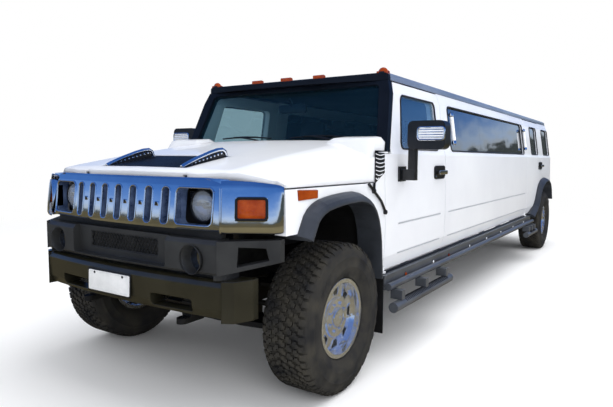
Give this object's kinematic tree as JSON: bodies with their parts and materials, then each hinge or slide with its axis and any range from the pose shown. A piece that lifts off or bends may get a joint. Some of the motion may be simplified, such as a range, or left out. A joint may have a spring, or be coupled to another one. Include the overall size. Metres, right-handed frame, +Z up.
{
  "type": "stretch limousine",
  "caption": "White off-road stretch limousine with slotted chrome grille, dark bumpers and flares, steps, opening doors, hood and tailgate, steered and turning wheels.",
  "frame": {"origin": "on the ground below the middle of the car's box", "axes": "+X forward, +Y to the car's left, +Z up"},
  "size_m": [7.869, 2.564, 1.976],
  "materials": {
    "white_paint": "gloss",
    "frame_black": "satin",
    "roof_black": "gloss",
    "cast_metal": "cast",
    "bare_steel": "dull",
    "floor_black": "satin",
    "glass_clear": "clear",
    "glass_dark": "tinted",
    "trim_black": "grained",
    "chrome": "polished",
    "lamp_clear": "clear",
    "lamp_amber": "clear",
    "lamp_red": "clear",
    "seat_leather": "soft",
    "tyre_rubber": "rubber",
    "flap_rubber": "matt"
  },
  "bodies": {
    "shell": {"chassis_frame": "frame_black", "powertrain": "cast_metal", "exhaust": "bare_steel", "fuel_tank": "frame_black", "front_suspension": "frame_black", "rear_axle": "frame_black", "floor_pan": "floor_black", "roof_panel": "roof_black", "windscreen_frame": "roof_black", "windscreen": "glass_clear", "side_panels": "white_paint", "quarter_panels": "white_paint", "side_windows": "glass_dark", "front_fenders": "white_paint", "wheel_flares": "trim_black", "arch_liners": "trim_black", "radiator_panel": "frame_black", "grille": "chrome", "headlamps": "lamp_clear", "amber_lamps": "lamp_amber", "front_bumper": "trim_black", "lower_bumper": "trim_black", "side_steps": "trim_black", "rear_bumper": "trim_black", "tail_lamps": "lamp_red", "tow_hooks": "frame_black", "mud_flaps": "flap_rubber", "dashboard": "trim_black", "seats": "seat_leather"},
    "hood": {"hood": "white_paint", "hood_vent": "trim_black"},
    "front_door_left": {"front_door_left": "white_paint", "front_window_left": "glass_dark", "mirror_left": "trim_black", "handle_front_left": "trim_black"},
    "front_door_right": {"front_door_right": "white_paint", "front_window_right": "glass_dark", "mirror_right": "trim_black", "handle_front_right": "trim_black"},
    "rear_door_left": {"rear_door_left": "white_paint", "rear_window_left": "glass_dark", "handle_rear_left": "trim_black"},
    "rear_door_right": {"rear_door_right": "white_paint", "rear_window_right": "glass_dark", "handle_rear_right": "trim_black"},
    "tailgate": {"tailgate": "white_paint", "tailgate_window": "glass_dark"},
    "knuckle_left": {"knuckle_left": "cast_metal"},
    "knuckle_right": {"knuckle_right": "cast_metal"},
    "wheel_front_left": {"tyre_front_left": "tyre_rubber", "rim_front_left": "chrome"},
    "wheel_front_right": {"tyre_front_right": "tyre_rubber", "rim_front_right": "chrome"},
    "wheel_rear_left": {"tyre_rear_left": "tyre_rubber", "rim_rear_left": "chrome"},
    "wheel_rear_right": {"tyre_rear_right": "tyre_rubber", "rim_rear_right": "chrome"}
  },
  "joints": [
    {"name": "hood_hinge", "type": "hinge", "parent": "shell", "child": "hood", "pos_m": [3.7815, 0, 1.24], "axis": [0, 1, 0], "range_deg": [0, 60]},
    {"name": "tailgate_hinge", "type": "hinge", "parent": "shell", "child": "tailgate", "pos_m": [-3.6985, 0, 1.852], "axis": [0, 1, 0], "range_deg": [0, 75]},
    {"name": "front_door_left_hinge", "type": "hinge", "parent": "shell", "child": "front_door_left", "pos_m": [2.4795, 0.934, 0.9], "axis": [0, 0, -1], "range_deg": [0, 62]},
    {"name": "rear_door_left_hinge", "type": "hinge", "parent": "shell", "child": "rear_door_left", "pos_m": [-2.0445, 0.934, 0.9], "axis": [0, 0, -1], "range_deg": [0, 62]},
    {"name": "front_door_right_hinge", "type": "hinge", "parent": "shell", "child": "front_door_right", "pos_m": [2.4795, -0.934, 0.9], "axis": [0, 0, 1], "range_deg": [0, 62]},
    {"name": "rear_door_right_hinge", "type": "hinge", "parent": "shell", "child": "rear_door_right", "pos_m": [-2.0445, -0.934, 0.9], "axis": [0, 0, 1], "range_deg": [0, 62]},
    {"name": "steer_left", "type": "hinge", "parent": "shell", "child": "knuckle_left", "pos_m": [3.1445, 0.8215, 0.436], "axis": [0, 0, 1], "range_deg": [-33, 33]},
    {"name": "steer_right", "type": "hinge", "parent": "shell", "child": "knuckle_right", "pos_m": [3.1445, -0.8215, 0.436], "axis": [0, 0, 1], "range_deg": [-33, 33]},
    {"name": "wheel_front_left_spin", "type": "hinge", "parent": "knuckle_left", "child": "wheel_front_left", "pos_m": [3.1445, 0.8815, 0.436], "axis": [0, 1, 0], "continuous": true},
    {"name": "wheel_front_right_spin", "type": "hinge", "parent": "knuckle_right", "child": "wheel_front_right", "pos_m": [3.1445, -0.8815, 0.436], "axis": [0, 1, 0], "continuous": true},
    {"name": "wheel_rear_left_spin", "type": "hinge", "parent": "shell", "child": "wheel_rear_left", "pos_m": [-3.0225, 0.8815, 0.436], "axis": [0, 1, 0], "continuous": true},
    {"name": "wheel_rear_right_spin", "type": "hinge", "parent": "shell", "child": "wheel_rear_right", "pos_m": [-3.0225, -0.8815, 0.436], "axis": [0, 1, 0], "continuous": true}
  ],
  "couplings": [
    {"joint": "steer_right", "follows": "steer_left", "ratio": 1}
  ]
}
